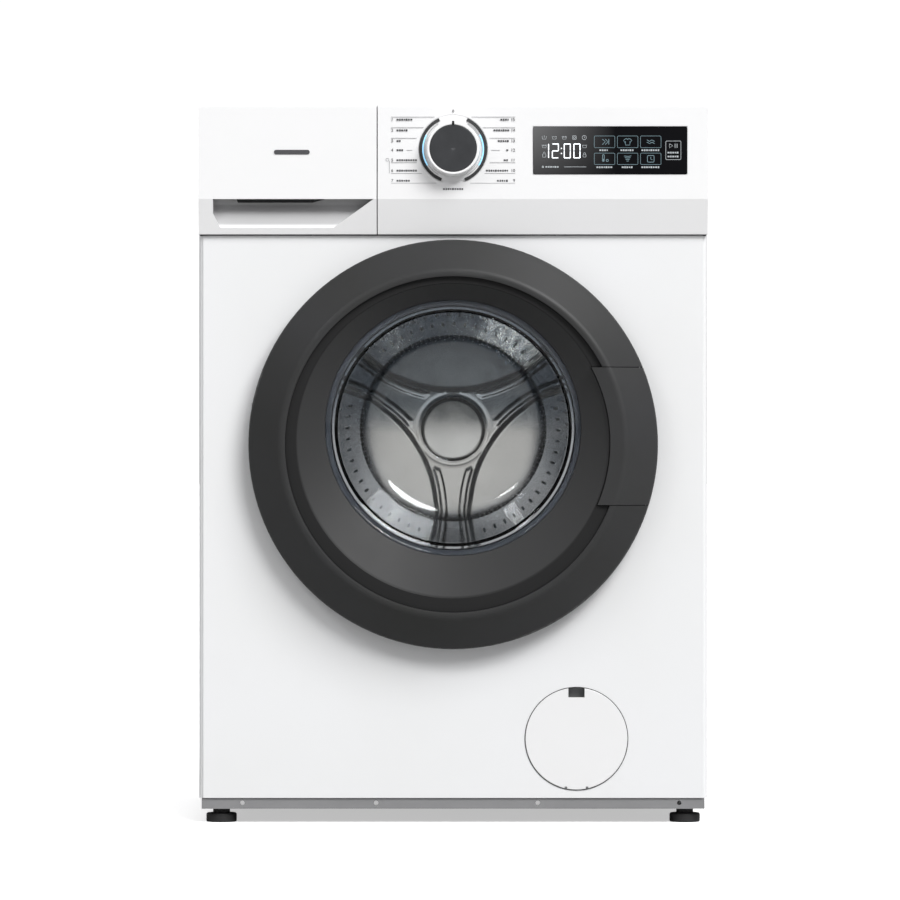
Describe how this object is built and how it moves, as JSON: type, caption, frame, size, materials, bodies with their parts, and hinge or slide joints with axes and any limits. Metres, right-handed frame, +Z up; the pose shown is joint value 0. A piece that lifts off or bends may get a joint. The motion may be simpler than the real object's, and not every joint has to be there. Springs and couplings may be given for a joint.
{
  "type": "front load washing machine",
  "caption": "Free-standing front-loading washing machine with a round bowl-glass door, detergent drawer, programme knob and dark display, shown closed.",
  "frame": {"origin": "on the floor under the middle of the machine's overall box", "axes": "+Z up, the door faces -Y, +X is to the right seen from the front"},
  "size_m": [0.6, 0.539, 0.848],
  "materials": {
    "white_enamel": "satin",
    "white_plastic": "satin",
    "galvanised_steel": "satin",
    "drum_steel": "satin",
    "cast_aluminium": "satin",
    "motor_metal": "satin",
    "concrete": "matte",
    "door_plastic": "satin",
    "knob_silver": "satin",
    "display_black": "gloss",
    "light_ring": "gloss",
    "door_glass": "gloss",
    "grey_plastic": "matte",
    "grey_rubber": "matte",
    "black_rubber": "matte"
  },
  "bodies": {
    "cabinet": {"cabinet_wrap": "white_enamel", "front_panel": "white_enamel", "base_frame": "galvanised_steel", "worktop": "white_plastic", "rear_service_cover": "galvanised_steel", "cabinet_fasteners": "galvanised_steel", "transit_hole_plugs": "grey_plastic", "top_brace": "galvanised_steel", "control_fascia": "white_plastic", "display_lens": "display_black", "programme_light_ring": "light_ring", "control_board": "grey_plastic", "dispenser_housing": "grey_plastic", "inlet_valve": "grey_plastic", "drain_outlet": "grey_plastic", "mains_gland": "grey_plastic", "hinge_bracket": "galvanised_steel", "door_lock": "grey_plastic", "door_gasket": "grey_rubber", "damper_cylinders": "grey_plastic", "drain_pump": "grey_plastic", "filter_surround": "grey_plastic", "suspension_springs": "galvanised_steel", "dispenser_hose": "grey_rubber", "sump_hose": "grey_rubber"},
    "tub": {"tub_front": "grey_plastic", "tub_rear": "grey_plastic", "heater": "galvanised_steel", "tub_clips": "galvanised_steel", "counterweights": "concrete", "bearings_and_seal": "galvanised_steel", "drive_belt": "black_rubber", "motor_housing": "motor_metal", "damper_rods": "galvanised_steel"},
    "drum": {"drum_shell": "drum_steel", "drum_lifters": "grey_plastic", "drum_rear_plate": "drum_steel", "drum_spider": "cast_aluminium", "drum_pulley": "cast_aluminium"},
    "motor": {"motor_rotor": "motor_metal"},
    "door": {"door_outer_ring": "door_plastic", "door_dish": "door_plastic", "door_glass": "door_glass", "door_back_frame": "grey_plastic", "door_fasteners": "galvanised_steel", "hinge_leaf": "galvanised_steel"},
    "grip": {"door_grip": "door_plastic"},
    "hook": {"door_hook": "grey_plastic"},
    "drawer": {"drawer_front": "white_plastic", "drawer_tray": "grey_plastic", "softener_siphon": "grey_plastic"},
    "knob": {"knob_body": "knob_silver", "knob_cap": "door_plastic"},
    "flap": {"service_flap": "white_plastic"},
    "filter": {"drain_filter": "grey_plastic"},
    "impeller": {"pump_impeller": "grey_plastic"},
    "foot_fl": {"foot_front_left": "black_rubber"},
    "foot_fr": {"foot_front_right": "black_rubber"},
    "foot_rl": {"foot_rear_left": "black_rubber"},
    "foot_rr": {"foot_rear_right": "black_rubber"}
  },
  "joints": [
    {"name": "tub_bounce", "type": "slide", "parent": "cabinet", "child": "tub", "axis": [0, 0, 1], "range_m": [-0.01, 0.01], "stiffness_N_per_m": 14000, "springref_m": 0.0208, "deforming": ["suspension_springs", "dispenser_hose", "sump_hose", "door_gasket"]},
    {"name": "drum_spin", "type": "hinge", "parent": "tub", "child": "drum", "pos_m": [0, 0, 0.4662], "axis": [0, 1, 0], "continuous": true},
    {"name": "motor_spin", "type": "hinge", "parent": "tub", "child": "motor", "pos_m": [-0.11, 0.1, 0.156], "axis": [0, 1, 0], "continuous": true},
    {"name": "door_swing", "type": "hinge", "parent": "cabinet", "child": "door", "pos_m": [-0.232, -0.232, 0.4662], "axis": [0, 0, -1], "range_deg": [0, 130]},
    {"name": "grip_pull", "type": "hinge", "parent": "door", "child": "grip", "pos_m": [0.19, -0.256, 0.4562], "axis": [0, 0, -1], "range_deg": [0, 5], "stiffness_Nm_per_rad": 2},
    {"name": "hook_swing", "type": "hinge", "parent": "door", "child": "hook", "pos_m": [0.207, -0.23, 0.4662], "axis": [0, 0, 1], "range_deg": [0, 10]},
    {"name": "drawer_slide", "type": "slide", "parent": "cabinet", "child": "drawer", "axis": [0, -1, 0], "range_m": [0, 0.165]},
    {"name": "knob_turn", "type": "hinge", "parent": "cabinet", "child": "knob", "pos_m": [0, -0.24, 0.7945], "axis": [0, -1, 0], "continuous": true},
    {"name": "flap_swing", "type": "hinge", "parent": "cabinet", "child": "flap", "pos_m": [0.1456, -0.216, 0.0414], "axis": [1, 0, 0], "range_deg": [0, 90]},
    {"name": "filter_turn", "type": "hinge", "parent": "cabinet", "child": "filter", "pos_m": [0.1456, -0.19, 0.0994], "axis": [0, -1, 0], "range_deg": [0, 90]},
    {"name": "impeller_spin", "type": "hinge", "parent": "cabinet", "child": "impeller", "pos_m": [0.1456, -0.11, 0.0994], "axis": [0, 1, 0], "continuous": true},
    {"name": "foot_front_left_screw", "type": "slide", "parent": "cabinet", "child": "foot_fl", "axis": [0, 0, 1], "range_m": [-0.012, 0]},
    {"name": "foot_front_right_screw", "type": "slide", "parent": "cabinet", "child": "foot_fr", "axis": [0, 0, 1], "range_m": [-0.012, 0]},
    {"name": "foot_rear_left_screw", "type": "slide", "parent": "cabinet", "child": "foot_rl", "axis": [0, 0, 1], "range_m": [-0.012, 0]},
    {"name": "foot_rear_right_screw", "type": "slide", "parent": "cabinet", "child": "foot_rr", "axis": [0, 0, 1], "range_m": [-0.012, 0]}
  ],
  "couplings": [
    {"joint": "motor_spin", "follows": "drum_spin", "ratio": 12.683},
    {"joint": "hook_swing", "follows": "grip_pull", "ratio": 2}
  ]
}
